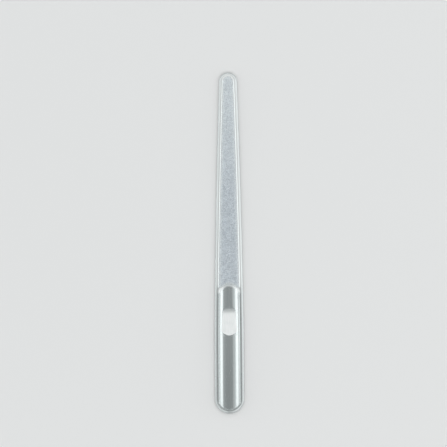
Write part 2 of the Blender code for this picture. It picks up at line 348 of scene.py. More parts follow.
def stations():
    """Places along the sides, close together where the shape changes fast. Each stretch is (from, to,
    steps)."""
    floor_end_y = REST_BOTTOM_Y + REST_LIP_LENGTH
    ramp_end_y = REST_TOP_Y - REST_RAMP_LENGTH
    horn_end_y = HORN_Y - RIM_WIDTH
    stretches = [
        (BUTT_CENTRE_Y, REST_BOTTOM_Y - REST_BLEND_LENGTH, 12),
        (REST_BOTTOM_Y - REST_BLEND_LENGTH, REST_BOTTOM_Y, 10),
        (REST_BOTTOM_Y, floor_end_y, 16),
        (floor_end_y, ramp_end_y, 15),
        (ramp_end_y, REST_TOP_Y, 14),
        (REST_TOP_Y, RIDGE_TOP_CENTRE_Y, 9),
        (RIDGE_TOP_CENTRE_Y, horn_end_y, 22),
        (horn_end_y, RIDGE_END_Y + RIDGE_CLEARANCE, 24),
        (RIDGE_END_Y + RIDGE_CLEARANCE, TIP_CENTRE_Y, 42),
    ]
    places = []
    for low, high, steps in stretches:
        places += spread(low, high, steps)[:-1]
    return places + [TIP_CENTRE_Y]


STATIONS = stations()


# Heights of the pressed sheet over its rim

def crown_height(share, foot_round):
    """The ridge's height at a share of its half width: a fillet at the foot, then a round crown."""
    half = HANDLE_WIDTH / 2 - RIDGE_SIDE_MARGIN
    steepest = 2 * math.atan(RIDGE_HEIGHT / half)
    crown_radius = half / math.sin(steepest) - foot_round
    inwards = half * (1 - share)
    if inwards < foot_round * math.sin(steepest):
        return foot_round - math.sqrt(foot_round ** 2 - inwards ** 2)
    return RIDGE_HEIGHT - crown_radius + math.sqrt(crown_radius ** 2 - (half * share) ** 2)


def ridge_reach(x, y):
    """Where a point lies on the ridge: its share of the way out across it, how far it lies inside the foot
    of a round end, which is None beside the straight part, and how far inside the nearest foot."""
    straight_y = min(max(y, BUTT_CENTRE_Y), RIDGE_TOP_CENTRE_Y)
    across = ridge_half_width(straight_y)
    if y == straight_y:
        return abs(x) / across, None, across * (1 - abs(x) / across)
    along = across if y > straight_y else BUTT_CENTRE_Y - BUTT_Y - RIDGE_BUTT_MARGIN
    inwards = along * (1 - math.hypot(x / across, (y - straight_y) / along))
    return abs(x) / across, inwards, inwards


def walled_height(x, y, sheet):
    """The ridge's height over its foot: round across, with a steep wall round each end, whose upper edge
    is softest two thirds of the way in. Rounds and walls lie a sheet's thickness inside the ridge's outer
    face, or on it where sheet is 0."""
    share, end_inwards, _ = ridge_reach(x, y)
    height = crown_height(min(share, 1.0), RIDGE_FOOT_ROUND + sheet)
    if end_inwards is None:
        return height
    risen = min(max((end_inwards - sheet) / RIDGE_WALL_WIDTH, 0.0), 1.0)
    edge = RIDGE_WALL_EDGE_SOFT * risen ** 2 * (1 - risen)
    return soft_min(height, RIDGE_HEIGHT * smooth(risen), edge)


def steady_fall(share):
    """From 0 to 1 at a steady rate, after a level start."""
    start = REST_FALL_START_SHARE
    return (math.hypot(share, start) - start) / (math.hypot(1, start) - start)


def rest_depth(y):
    """How deep the thumb rest is at y: a soft ramp onto a floor that falls steadily, then the lip."""
    down = REST_TOP_Y - y
    floor_end = REST_LENGTH - REST_LIP_LENGTH
    if down <= 0 or down >= REST_LENGTH:
        return 0.0
    if down > floor_end:
        return REST_DEPTH * smooth((REST_LENGTH - down) / REST_LIP_LENGTH)
    ramp = REST_RAMP_DEPTH * smooth(down / REST_RAMP_LENGTH)
    return ramp + (REST_DEPTH - REST_RAMP_DEPTH) * steady_fall(down / floor_end)


def rest_bow(x, y):
    """The lip bends towards the tip at its sides, and the stations about it bend with it."""
    share = min(1.0, abs(x) / ridge_half_width(y))
    above = (REST_TOP_Y - y) / (REST_LENGTH - REST_LIP_LENGTH)
    below = (y - (REST_BOTTOM_Y - REST_BLEND_LENGTH)) / REST_BLEND_LENGTH
    return REST_LIP_BOW * share ** 2 * smooth(above) * smooth(below)


def pressed_height(height, depth):
    """Presses a height on the ridge down to the rest's flat floor, with a soft edge."""
    return soft_min(height, RIDGE_HEIGHT - depth, REST_EDGE_SHARE * depth)


def blade_inset(x, y):
    """How far inside the file's outline a plan point on the blade lies."""
    if y >= TIP_CENTRE_Y:
        return TIP_WIDTH / 2 - math.hypot(x, y - TIP_CENTRE_Y)
    return half_width(y) - abs(x)


def pad_share(x, y):
    """How far the blade's pad has risen out of the rim: 0 on the rim and 1 on the pad's flat."""
    if y >= HORN_Y:
        inwards = blade_inset(x, y) - RIM_WIDTH
    else:
        corner = HORN_ROUND + BOND_INSET + PAD_SLOPE_WIDTH
        inwards = corner - math.hypot(max(abs(x) - HORN_X, 0.0), HORN_Y - y)
    return rounded_ramp(inwards / PAD_SLOPE_WIDTH)


def front_height(x, y, station_y):
    """Height of the front face at a plan point that belongs to the station at station_y."""
    rest = pressed_height(walled_height(x, y, 0), rest_depth(station_y))
    return RIM_FRONT_Z + soft_max(rest, PAD_RISE * pad_share(x, y), RIDGE_PAD_BLEND)


def back_height(x, y, station_y):
    """Height of the back face: the pad, which fades out before the hollow under the ridge."""
    inwards = ridge_reach(x, y)[2]
    if inwards > 0:
        return RIM_BACK_Z + pressed_height(walled_height(x, y, RIM_THICKNESS), rest_depth(station_y))
    return RIM_BACK_Z - PAD_RISE * pad_share(x, y) * smooth(-inwards / BACK_PAD_FADE_WIDTH)


# Finish of the steel

def worn_share(x, y, station_y):
    """1 where hands rub the front most, at the ridge's round ends and at the rest's lip, and 0 elsewhere."""
    end_inwards = ridge_reach(x, y)[1]
    near_lip = 1 - smooth(abs(station_y - REST_BOTTOM_Y) / WEAR_REACH)
    near_end = 0.0
    if end_inwards is not None:
        past_straight = max(y - RIDGE_TOP_CENTRE_Y, BUTT_CENTRE_Y - y)
        near_end = smooth(past_straight / RIDGE_END_FADE_LENGTH)
        near_end *= 1 - smooth(abs(end_inwards - RIDGE_WALL_WIDTH) / WEAR_REACH)
    return max(near_end, near_lip * smooth(walled_height(x, y, 0) / RIDGE_FOOT_ROUND))


def rim_satin(y):
    """The share of satin on the rim: less on the handle than on the blade."""
    blade = smooth((y - RIDGE_END_Y + BLADE_SATIN_BEFORE_RIDGE_END) / BLADE_SATIN_FADE_LENGTH)
    return HANDLE_RIM_SATIN_SHARE + (BLADE_SATIN_SHARE - HANDLE_RIM_SATIN_SHARE) * blade


def margin_satin(x, y):
    """The share of satin on the rim and on the pad's slope, whose middle has a share of its own: low at the
    sides and high round the tip, where the satin's pale colour paints the tip's bright arc."""
    rim = rim_satin(y)
    risen = pad_share(x, y)
    round_tip = smooth((y - TIP_CENTRE_Y) / TIP_SLOPE_FADE_LENGTH)
    slope = SIDE_SLOPE_SATIN_SHARE + (TIP_SLOPE_SATIN_SHARE - SIDE_SLOPE_SATIN_SHARE) * round_tip
    return rim + (slope - rim) * 4 * risen * (1 - risen)


def satin_share(x, y, station_y):
    """The front's share of satin: 1 on the thumb rest's floor, high on the ridge's upper end and in the
    corner at its foot, where a polishing wheel hardly reaches and where the satin's pale colour paints the
    end's highlight and lightens the corner's shade, 0 on the rest of the ridge, and the margin's own
    elsewhere."""
    end_inwards, inwards = ridge_reach(x, y)[1:]
    round_end = smooth((y - RIDGE_TOP_CENTRE_Y) / RIDGE_END_FADE_LENGTH)
    if inwards <= 0:
        return max(margin_satin(x, y), round_end * (1 - smooth(-inwards / CORNER_SATIN_REACH)))
    height = walled_height(x, y, 0)
    pressed = height - pressed_height(height, rest_depth(station_y))
    down = REST_TOP_Y - REST_SATIN_FROM_TOP - station_y
    floor = smooth(pressed / REST_SATIN_FULL_DEPTH) * smooth(down / REST_SATIN_FADE_LENGTH)
    if y <= RIDGE_TOP_CENTRE_Y:
        return floor
    return max(floor, RIDGE_END_SATIN_SHARE * round_end * (1 - smooth(end_inwards / RIDGE_END_SATIN_REACH)))


# Meshes

def plan_ring(inset, share):
    """The file's outline moved inwards by inset, then narrowed to a share: triples of (x, y, station)."""
    side = []
    for y in STATIONS:
        x = (half_width(y) - inset) * share
        side.append((x, y + rest_bow(x, y), y))
    tip = arc(TIP_CENTRE_Y, (TIP_WIDTH / 2 - inset) * share, 0, 180, CAP_STEPS)[1:-1]
    butt = arc(BUTT_CENTRE_Y, (HANDLE_WIDTH / 2 - inset) * share, 180, 360, CAP_STEPS)[1:-1]
    other_side = [(-x, y, station_y) for x, y, station_y in reversed(side)]
    return side + [(x, y, y) for x, y in tip] + other_side + [(x, y, y) for x, y in butt]


def flat_ring_places():
    """Pairs of (inset, share) for the rings from the rim's flat to the middle line."""
    slope_inset = RIM_WIDTH + PAD_SLOPE_WIDTH
    insets = spread(EDGE_ACROSS, RIM_WIDTH, RIM_STEPS)[:-1]
    insets += spread(RIM_WIDTH, slope_inset, SLOPE_STEPS)[:-1]
    insets += spread(slope_inset, RING_INSET, FOOT_STEPS)[:-1]
    return [(inset, 1.0) for inset in insets] + [(RING_INSET, share) for share in spread(1, 0, CROWN_STEPS)]


def edge_profile():
    """Pairs of (inset, z) round the rim's edge: a small round at the back, the bevel, its round crest."""
    profile = []
    for degrees in spread(0, 90, BACK_EDGE_STEPS)[1:]:
        turn = math.radians(degrees)
        inset = BACK_EDGE_ROUND * (1 - math.sin(turn))
        profile.append((inset, RIM_BACK_Z + BACK_EDGE_ROUND * (1 - math.cos(turn))))
    low_z = RIM_BACK_Z + BACK_EDGE_ROUND
    high_z = RIM_FRONT_Z - CREST_RADIUS * (1 - math.cos(math.radians(BEVEL_DEGREES)))
    for share in spread(0, 1, BEVEL_STEPS)[1:-1]:
        profile.append((BEVEL_WIDTH * share, low_z + (high_z - low_z) * share))
    for degrees in spread(BEVEL_DEGREES, 0, CREST_STEPS)[:-1]:
        tilt = math.radians(degrees)
        inset = EDGE_ACROSS - CREST_RADIUS * math.sin(tilt)
        profile.append((inset, RIM_FRONT_Z - CREST_RADIUS * (1 - math.cos(tilt))))
    return profile


def front_point(x, y, station_y):
    """A vertex of the front face with its shares of satin and wear."""
    return x, y, front_height(x, y, station_y), satin_share(x, y, station_y), worn_share(x, y, station_y)


def steel_rings():
    """Rings of (x, y, z, satin, worn) from the back's middle line, round the edge, to the front's. The
    bevel's lower half is more polished than the rim."""
    back = []
    front = []
    for inset, share in flat_ring_places():
        plan = plan_ring(inset, share)
        back.append([(x, y, back_height(x, y, s), rim_satin(y), 0.0) for x, y, s in plan])
        front.append([front_point(x, y, s) for x, y, s in plan])
    edge = []
    for inset, z in edge_profile():
        part = BEVEL_SATIN_PART + (1 - BEVEL_SATIN_PART) * smooth(2 * inset / BEVEL_WIDTH - 1)
        edge.append([(x, y, z, part * rim_satin(y), 1.0) for x, y, _ in plan_ring(inset, 1.0)])
    return back[::-1] + edge + front


def bridge(shape, rows):
    """Joins matching closed rows of vertices with faces, each row to the next."""
    for lower, upper in zip(rows, rows[1:]):
        for i in range(len(lower)):
            j = (i + 1) % len(lower)
            shape.faces.new((lower[i], lower[j], upper[j], upper[i]))


def finished_mesh(name, shape):
    """The mesh that a bmesh holds."""
    mesh = bpy.data.meshes.new(name)
    shape.to_mesh(mesh)
    shape.free()
    return mesh


def skin(name, rings):
    """Skins a stack of matching rings; the end rings lie folded on the middle line, and merging closes
    them."""
    shape = bmesh.new()
    satin = shape.verts.layers.float.new("satin")
    worn = shape.verts.layers.float.new("worn")
    grid = []
    for ring in rings:
        row = [shape.verts.new(point[:3]) for point in ring]
        for vertex, point in zip(row, ring):
            vertex[satin] = point[3]
            vertex[worn] = point[4]
        grid.append(row)
    bridge(shape, grid)
    bmesh.ops.remove_doubles(shape, verts=shape.verts, dist=MERGE_DISTANCE)
    bmesh.ops.recalc_face_normals(shape, faces=shape.faces)
    mesh = finished_mesh(name, shape)
    mesh.shade_smooth()
    return mesh


def linked(name, data):
    """A new object in the scene, which holds a mesh, a lamp or a camera."""
    made = bpy.data.objects.new(name, data)
    bpy.context.scene.collection.objects.link(made)
    return made


def add_piece(name, mesh, material):
    """A new object with one material."""
    mesh.materials.append(material)
    return linked(name, mesh)


# Coats and grains

def coat_outline(shrink):
    """The bond coat's outline, moved in by shrink: round at the tip, two horns beside the ridge's end."""
    horn_round = HORN_ROUND - shrink
    side = []
    for degrees in spread(-180, 0, HORN_STEPS)[:-1]:
        angle = math.radians(degrees)
        side.append((HORN_X + horn_round * math.cos(angle), HORN_Y + horn_round * math.sin(angle)))
    for y in spread(HORN_Y, TIP_CENTRE_Y, COAT_SIDE_STEPS):
        side.append((half_width(y) - BOND_EDGE_INSET - shrink, y))
    tip = arc(TIP_CENTRE_Y, TIP_WIDTH / 2 - BOND_EDGE_INSET - shrink, 0, 180, COAT_CAP_STEPS)[1:-1]
    other_side = [(-x, y) for x, y in reversed(side)]
    clear_radius = ridge_half_width(RIDGE_TOP_CENTRE_Y) + RIDGE_CLEARANCE + shrink
    start = math.degrees(math.atan2(HORN_Y - RIDGE_TOP_CENTRE_Y, HORN_X - horn_round))
    hollow = arc(RIDGE_TOP_CENTRE_Y, clear_radius, 180 - start, start, COAT_CAP_STEPS)[1:-1]
    return side + tip + other_side + hollow


def coat_mesh(name, steel_z, outwards):
    """A thin plated coat with rounded edges, flat on the steel at steel_z."""
    rows = [[(x, y, steel_z) for x, y in coat_outline(0)]]
    for degrees in spread(0, 90, COAT_EDGE_STEPS):
        angle = math.radians(degrees)
        shrink = COAT_EDGE_ROUND * (1 - math.cos(angle))
        rise = BOND_THICKNESS - COAT_EDGE_ROUND * (1 - math.sin(angle))
        rows.append([(x, y, steel_z + outwards * rise) for x, y in coat_outline(shrink)])
    shape = bmesh.new()
    grid = [[shape.verts.new(point) for point in row] for row in rows]
    bridge(shape, grid)
    shape.faces.new(reversed(grid[0]))
    shape.faces.new(grid[-1])
    bmesh.ops.recalc_face_normals(shape, faces=shape.faces)
    return finished_mesh(name, shape)


def field_mesh(name, z):
    """The flat field that the grains are scattered on."""
    shape = bmesh.new()
    shape.faces.new([shape.verts.new((x, y, z)) for x, y in coat_outline(GRAIN_SIZE / 2)])
    bmesh.ops.triangulate(shape, faces=shape.faces)
    return finished_mesh(name, shape)


def node(tree, kind, label="", **settings):
    """A new node with its label and properties set."""
    made = tree.nodes.new(kind)
    made.label = label
    for key, value in settings.items():
        setattr(made, key, value)
    return made


def grain_places(tree, given):
    """Points spread over the face, crowded in clumps."""
    link = tree.links.new
    points = node(tree, "GeometryNodeDistributePointsOnFaces", "grain places", distribute_method="POISSON")
    link(given["Geometry"], points.inputs["Mesh"])
    link(given["Spacing"], points.inputs["Distance Min"])
    link(given["Density"], points.inputs["Density Max"])
    link(given["Seed"], points.inputs["Seed"])
    clumps = node(tree, "ShaderNodeTexNoise", "clumps")
    link(given["Clump Scale"], clumps.inputs["Scale"])
    crowding = node(tree, "ShaderNodeMapRange", "crowded or bare")
    crowding.inputs["From Min"].default_value = CLUMP_NOISE_LOW
    crowding.inputs["From Max"].default_value = CLUMP_NOISE_HIGH
    crowding.inputs["To Min"].default_value = BARE_DENSITY_SHARE
    link(clumps.outputs["Fac"], crowding.inputs["Value"])
    link(crowding.outputs["Result"], points.inputs["Density Factor"])
    return points.outputs["Points"]


def faceted_shard(tree):
    """One crystal, 1 across, with two sharp ends and flat facets."""
    crystal = node(tree, "GeometryNodeMeshUVSphere", "six-faced shard")
    crystal.inputs["Segments"].default_value = SHARD_SIDES
    crystal.inputs["Rings"].default_value = 2
    crystal.inputs["Radius"].default_value = 0.5
    flat = node(tree, "GeometryNodeSetShadeSmooth", "flat facets")
    flat.inputs["Shade Smooth"].default_value = False
    tree.links.new(crystal.outputs["Mesh"], flat.inputs["Geometry"])
    return flat.outputs["Geometry"]


def random_vector(tree, given, label, low, high):
    """A random vector for each grain, with each of its parts between low and high."""
    made = node(tree, "FunctionNodeRandomValue", label, data_type="FLOAT_VECTOR")
    made.inputs["Min"].default_value = (low, low, low)
    made.inputs["Max"].default_value = (high, high, high)
    tree.links.new(given["Seed"], made.inputs["Seed"])
    return made.outputs["Value"]


def placed_grains(tree, given):
    """Shards of uneven shape, any way round, each with a tone of its own that its vertices keep."""
    link = tree.links.new
    places = grain_places(tree, given)
    shard = faceted_shard(tree)
    turn = random_vector(tree, given, "any way round", 0.0, math.tau)
    uneven = random_vector(tree, given, "uneven shape", SMALLEST_SHARE, LARGEST_SHARE)
    size = node(tree, "ShaderNodeVectorMath", "real size", operation="SCALE")
    link(uneven, size.inputs["Vector"])
    link(given["Grain Size"], size.inputs["Scale"])
    grains = node(tree, "GeometryNodeInstanceOnPoints", "grains")
    link(places, grains.inputs["Points"])
    link(shard, grains.inputs["Instance"])
    link(turn, grains.inputs["Rotation"])
    link(size.outputs["Vector"], grains.inputs["Scale"])
    tone = node(tree, "FunctionNodeRandomValue", "each grain's tone", data_type="FLOAT")
    link(given["Seed"], tone.inputs["Seed"])
    toned = node(tree, "GeometryNodeStoreNamedAttribute", "keep the tone", domain="INSTANCE")
    toned.data_type = "FLOAT"
    toned.inputs["Name"].default_value = "tone"
    link(grains.outputs["Instances"], toned.inputs["Geometry"])
    link(tone.outputs[1], toned.inputs["Value"])
    real = node(tree, "GeometryNodeRealizeInstances")
    link(toned.outputs["Geometry"], real.inputs["Geometry"])
    return real.outputs["Geometry"]


def levelled_place(tree, given):
    """Each vertex's place, moved between the layer's lowest and highest level."""
    link = tree.links.new
    place = node(tree, "GeometryNodeInputPosition")
    parts = node(tree, "ShaderNodeSeparateXYZ")
    link(place.outputs["Position"], parts.inputs["Vector"])
    over = node(tree, "ShaderNodeMath", "not below the layer", operation="MAXIMUM")
    link(parts.outputs["Z"], over.inputs[0])
    link(given["Lowest Z"], over.inputs[1])
    under = node(tree, "ShaderNodeMath", "not above the layer", operation="MINIMUM")
    link(over.outputs["Value"], under.inputs[0])
    link(given["Highest Z"], under.inputs[1])
    levelled = node(tree, "ShaderNodeCombineXYZ")
    link(parts.outputs["X"], levelled.inputs["X"])
    link(parts.outputs["Y"], levelled.inputs["Y"])
    link(under.outputs["Value"], levelled.inputs["Z"])
    return levelled.outputs["Vector"]


def grain_tree():
    """Scatters crushed grains over a face, partly bedded in it, and levels their tips."""
    tree = bpy.data.node_groups.new("scatter_grains", "GeometryNodeTree")
    face = tree.interface
    face.new_socket("Geometry", in_out="INPUT", socket_type="NodeSocketGeometry")
    for name in ("Spacing", "Density", "Clump Scale", "Grain Size", "Lowest Z", "Highest Z"):
        face.new_socket(name, in_out="INPUT", socket_type="NodeSocketFloat")
    face.new_socket("Seed", in_out="INPUT", socket_type="NodeSocketInt")
    face.new_socket("Material", in_out="INPUT", socket_type="NodeSocketMaterial")
    face.new_socket("Geometry", in_out="OUTPUT", socket_type="NodeSocketGeometry")
    link = tree.links.new
    given = node(tree, "NodeGroupInput").outputs
    result = node(tree, "NodeGroupOutput")
    grains = placed_grains(tree, given)
    levelled = levelled_place(tree, given)
    moved = node(tree, "GeometryNodeSetPosition", "level the tips")
    link(grains, moved.inputs["Geometry"])
    link(levelled, moved.inputs["Position"])
    painted = node(tree, "GeometryNodeSetMaterial")
    link(moved.outputs["Geometry"], painted.inputs["Geometry"])
    link(given["Material"], painted.inputs["Material"])
    link(painted.outputs["Geometry"], result.inputs["Geometry"])
    return tree


def mark_edge_light(mesh):
    """Stores how near each vertex lies to the field's sides or to the ridge, from 0 inside to 1 at the edge:
    the share of painted light that the grains' colour takes there."""
    shares = []
    for vertex in mesh.vertices:
        from_side = blade_inset(vertex.co.x, vertex.co.y) - BOND_EDGE_INSET
        from_ridge = -ridge_reach(vertex.co.x, vertex.co.y)[2] - RIDGE_CLEARANCE
        inside = smooth(from_side / GRIT_EDGE_WIDTH) * smooth(from_ridge / GRIT_HOLLOW_EDGE_WIDTH)
        shares.append(1 - inside)
    mesh.attributes.new("edge", "FLOAT", "POINT").data.foreach_set("value", shares)


def set_inputs(modifier, values):
    """Sets a Geometry Nodes modifier's inputs by the names of its tree's sockets."""
    for item in modifier.node_group.interface.items_tree:
        if item.item_type == "SOCKET" and item.in_out == "INPUT" and item.name in values:
            modifier[item.identifier] = values[item.name]


def scattered_grains(name, tree, field_z, lowest_z, highest_z, seed, material):
    """One face's grains as a plain mesh."""
    carrier = linked(name + "_field", field_mesh(name + "_field", field_z))
    scatter = carrier.modifiers.new("scatter_grains", "NODES")
    scatter.node_group = tree
    set_inputs(scatter, {
        "Spacing": GRAIN_SPACING,
        "Density": GRAINS_PER_SQUARE_METRE,
        "Clump Scale": CLUMPS_PER_METRE,
        "Grain Size": GRAIN_SIZE,
        "Lowest Z": lowest_z,
        "Highest Z": highest_z,
        "Seed": seed,
        "Material": material,
    })
    bpy.context.view_layer.update()
    evaluated = carrier.evaluated_get(bpy.context.evaluated_depsgraph_get())
    mesh = bpy.data.meshes.new_from_object(evaluated)
    mesh.name = name
    mark_edge_light(mesh)
    bpy.data.objects.remove(carrier)
    return linked(name, mesh)


# Shader node groups

def shader_group(name, inputs, outputs):
    """A new shader node group with float or vector sockets, given as (name, kind, value)."""
    tree = bpy.data.node_groups.new(name, "ShaderNodeTree")
    for socket_name, kind, value in inputs:
        socket = tree.interface.new_socket(socket_name, in_out="INPUT", socket_type="NodeSocket" + kind)
        if value is not None:
            socket.default_value = value
    for socket_name, kind in outputs:
        tree.interface.new_socket(socket_name, in_out="OUTPUT", socket_type="NodeSocket" + kind)
    return tree, tree.nodes.new("NodeGroupInput"), tree.nodes.new("NodeGroupOutput")


def mottle_group():
    """Cloudy variation in two sizes, from 0 to 1; a smaller spread gives harder patches."""
    inputs = [("Vector", "Vector", None), ("Coarse Scale", "Float", 300.0), ("Fine Scale", "Float", 2500.0),
              ("Fine Share", "Float", 0.4), ("Spread", "Float", 0.2)]
    tree, given, result = shader_group("mottle", inputs, [("Mask", "Float")])
    link = tree.links.new
    coarse = node(tree, "ShaderNodeTexNoise", "clouds")
    fine = node(tree, "ShaderNodeTexNoise", "specks")
    for texture, scale in ((coarse, "Coarse Scale"), (fine, "Fine Scale")):
        link(given.outputs["Vector"], texture.inputs["Vector"])
        link(given.outputs[scale], texture.inputs["Scale"])
        texture.inputs["Detail"].default_value = 3.0
    both = node(tree, "ShaderNodeMix", data_type="FLOAT")
    link(given.outputs["Fine Share"], both.inputs["Factor"])
    link(coarse.outputs["Fac"], both.inputs["A"])
    link(fine.outputs["Fac"], both.inputs["B"])
    stretch = node(tree, "ShaderNodeMapRange", "fuller contrast")
    for operation, limit in (("SUBTRACT", "From Min"), ("ADD", "From Max")):
        edge = node(tree, "ShaderNodeMath", "spread about the middle", operation=operation)
        edge.inputs[0].default_value = 0.5
        link(given.outputs["Spread"], edge.inputs[1])
        link(edge.outputs["Value"], stretch.inputs[limit])
    link(both.outputs["Result"], stretch.inputs["Value"])
    link(stretch.outputs["Result"], result.inputs["Mask"])
    return tree


def polish_group():
    """Fine marks that run along the file, as a height and as a mask."""
    inputs = [("Vector", "Vector", None), ("Across Scale", "Float", 9000.0), ("Along Scale", "Float", 60.0)]
    tree, given, result = shader_group("polish_marks", inputs, [("Height", "Float"), ("Mask", "Float")])
    link = tree.links.new
    stretch = node(tree, "ShaderNodeCombineXYZ", "long thin marks")
    link(given.outputs["Across Scale"], stretch.inputs["X"])
    link(given.outputs["Along Scale"], stretch.inputs["Y"])
    link(given.outputs["Across Scale"], stretch.inputs["Z"])
    scaled = node(tree, "ShaderNodeVectorMath", operation="MULTIPLY")
    link(given.outputs["Vector"], scaled.inputs[0])
    link(stretch.outputs["Vector"], scaled.inputs[1])
    marks = node(tree, "ShaderNodeTexNoise", "marks")
    marks.inputs["Scale"].default_value = 1.0
    marks.inputs["Detail"].default_value = 4.0
    link(scaled.outputs["Vector"], marks.inputs["Vector"])
    mask = node(tree, "ShaderNodeMapRange", "deeper marks")
    mask.inputs["From Min"].default_value = 0.45
    mask.inputs["From Max"].default_value = 0.75
    link(marks.outputs["Fac"], mask.inputs["Value"])
    link(marks.outputs["Fac"], result.inputs["Height"])
    link(mask.outputs["Result"], result.inputs["Mask"])
    return tree


# Nodes that the materials share

def new_material(name, colour, metallic, roughness):
    """A Principled material and its tree, shader and object coordinates."""
    material = bpy.data.materials.new(name)
    material.use_nodes = True
    tree = material.node_tree
    surface = tree.nodes["Principled BSDF"]
    surface.inputs["Base Color"].default_value = (*colour, 1.0)
    surface.inputs["Metallic"].default_value = metallic
    surface.inputs["Roughness"].default_value = roughness
    return material, tree, surface, node(tree, "ShaderNodeTexCoord").outputs["Object"]


def placed_group(tree, group, vector, **values):
    """Places a shader node group that reads vector, with its own values (underscores for spaces)."""
    placed = node(tree, "ShaderNodeGroup")
    placed.node_tree = group
    tree.links.new(vector, placed.inputs["Vector"])
    for name, value in values.items():
        placed.inputs[name.replace("_", " ")].default_value = value
    return placed.outputs


def mapped(tree, value, low, high, from_low=0.0, from_high=1.0):
    """A value's range moved to low..high."""
    made = node(tree, "ShaderNodeMapRange")
    tree.links.new(value, made.inputs["Value"])
    made.inputs["From Min"].default_value = from_low
    made.inputs["From Max"].default_value = from_high
    made.inputs["To Min"].default_value = low
    made.inputs["To Max"].default_value = high
    return made.outputs["Result"]


def up_to(tree, mask, share):
    """A mask that rises to a share instead of 1."""
    return mapped(tree, mask, 0.0, share)


def mixed_colour(tree, factor, low, high):
    """Blends from the colour low to the colour high by a factor socket; each is a colour or a socket."""
    made = node(tree, "ShaderNodeMix", data_type="RGBA")
    tree.links.new(factor, made.inputs["Factor"])
    for socket, colour in ((made.inputs["A"], low), (made.inputs["B"], high)):
        if isinstance(colour, tuple):
            socket.default_value = (*colour, 1.0)
        else:
            tree.links.new(colour, socket)
    return made.outputs["Result"]


def mixed_value(tree, factor, low, high):
    """Blends from low to high by a factor socket; each is a number or a socket."""
    made = node(tree, "ShaderNodeMix", data_type="FLOAT")
    tree.links.new(factor, made.inputs["Factor"])
    for socket, value in ((made.inputs["A"], low), (made.inputs["B"], high)):
        if isinstance(value, float):
            socket.default_value = value
        else:
            tree.links.new(value, socket)
    return made.outputs["Result"]


def combined(tree, operation, one, other):
    """Two value sockets in one Math node."""
    made = node(tree, "ShaderNodeMath", operation=operation)
    tree.links.new(one, made.inputs[0])
    tree.links.new(other, made.inputs[1])
    return made.outputs["Value"]


def carried(tree, name):
    """A value that the mesh carries at its vertices."""
    return node(tree, "ShaderNodeAttribute", name, attribute_name=name).outputs["Fac"]


def split(tree, vector):
    """The X, Y and Z sockets of a vector."""
    parts = node(tree, "ShaderNodeSeparateXYZ")
    tree.links.new(vector, parts.inputs["Vector"])
    return parts.outputs


def scratch_mask(tree, polish, place, degrees):
    """Sparse fine scratches that run at an angle to the file."""
    turned = node(tree, "ShaderNodeMapping", "scratch direction")
    turned.inputs["Rotation"].default_value = (0, 0, math.radians(degrees))
    tree.links.new(place, turned.inputs["Vector"])
    lines = placed_group(tree, polish, turned.outputs["Vector"], Across_Scale=11000.0, Along_Scale=110.0)
    return mapped(tree, lines["Height"], 0.0, 1.0, SCRATCH_NOISE_LOW, SCRATCH_NOISE_HIGH)


def bumped(tree, height, distance, strength, normal=None):
    """A normal that a height moves, on top of another one where that is given."""
    made = node(tree, "ShaderNodeBump")
    made.inputs["Distance"].default_value = distance
    made.inputs["Strength"].default_value = strength
    tree.links.new(height, made.inputs["Height"])
    if normal is not None:
        tree.links.new(normal, made.inputs["Normal"])
    return made.outputs["Normal"]


# Materials

def steel_masks(tree, place, mottle, polish):
    """Everything that varies over the steel, by name."""
    haze = placed_group(tree, mottle, place, Coarse_Scale=150.0, Fine_Scale=1100.0, Fine_Share=0.35)
    scuffs = placed_group(tree, mottle, place, Coarse_Scale=1300.0, Fine_Scale=5200.0, Fine_Share=0.5)
    marks = placed_group(tree, polish, place, Across_Scale=9000.0, Along_Scale=60.0)
    streaks = placed_group(tree, polish, place, Across_Scale=1500.0, Along_Scale=22.0)
    scratches = [scratch_mask(tree, polish, place, degrees) for degrees in SCRATCH_DEGREES]
    return {
        "haze": haze["Mask"],
        "scuffs": scuffs["Mask"],
        "marks": marks["Mask"],
        "mark heights": marks["Height"],
        "streaks": streaks["Mask"],
        "streak heights": streaks["Height"],
        "scratches": combined(tree, "MAXIMUM", *scratches),
        "satin": carried(tree, "satin"),
        "worn": carried(tree, "worn"),
    }


def steel_colour(tree, place, masks):
    """The polished steel's tone under its haze, film and scratches, and the brushed tone of its satin, whose
    near-white colour is partly painted light.
    """
    tone = mixed_colour(tree, masks["streaks"], STREAK_DARK, STREAK_LIGHT)
    tone = mixed_colour(tree, up_to(tree, masks["haze"], HAZE_SHARE), tone, HAZED_STEEL)
    film = mapped(tree, split(tree, place)["Y"], FILM_SHARE, 0.0, FILM_FULL_Y, FILM_END_Y)
    tone = mixed_colour(tree, film, tone, HANDLED_STEEL)
    tone = mixed_colour(tree, up_to(tree, masks["scratches"], SCRATCH_SHARE), tone, SCRATCHED_STEEL)
    # The satin's near-white tone: partly the dull finish's own, partly painted light
    satin_and_sheen_tone = mixed_colour(tree, masks["scuffs"], SATIN_AND_SHEEN_DARK, SATIN_AND_SHEEN_LIGHT)
    satin_and_sheen_tone = mixed_colour(tree, up_to(tree, masks["marks"], BRUSHED_SHARE), satin_and_sheen_tone, BRUSHED_SATIN)
    return mixed_colour(tree, masks["satin"], tone, satin_and_sheen_tone)


def steel_roughness(tree, masks):
    """Smooth steel, rougher in its haze, marks and scratches and where it is worn, and dull where satin."""
    plain = mixed_value(tree, masks["haze"], *POLISHED_ROUGHNESS)
    marked = combined(tree, "ADD", plain, up_to(tree, masks["marks"], MARK_ROUGHNESS))
    scuffed = combined(tree, "MULTIPLY", masks["worn"], up_to(tree, masks["scuffs"], SCUFF_ROUGHNESS))
    handled = combined(tree, "ADD", marked, scuffed)
    polished = combined(tree, "ADD", handled, up_to(tree, masks["scratches"], SCRATCH_ROUGHNESS))
    dull = mixed_value(tree, masks["scuffs"], *SATIN_ROUGHNESS)
    return mixed_value(tree, masks["satin"], polished, dull)


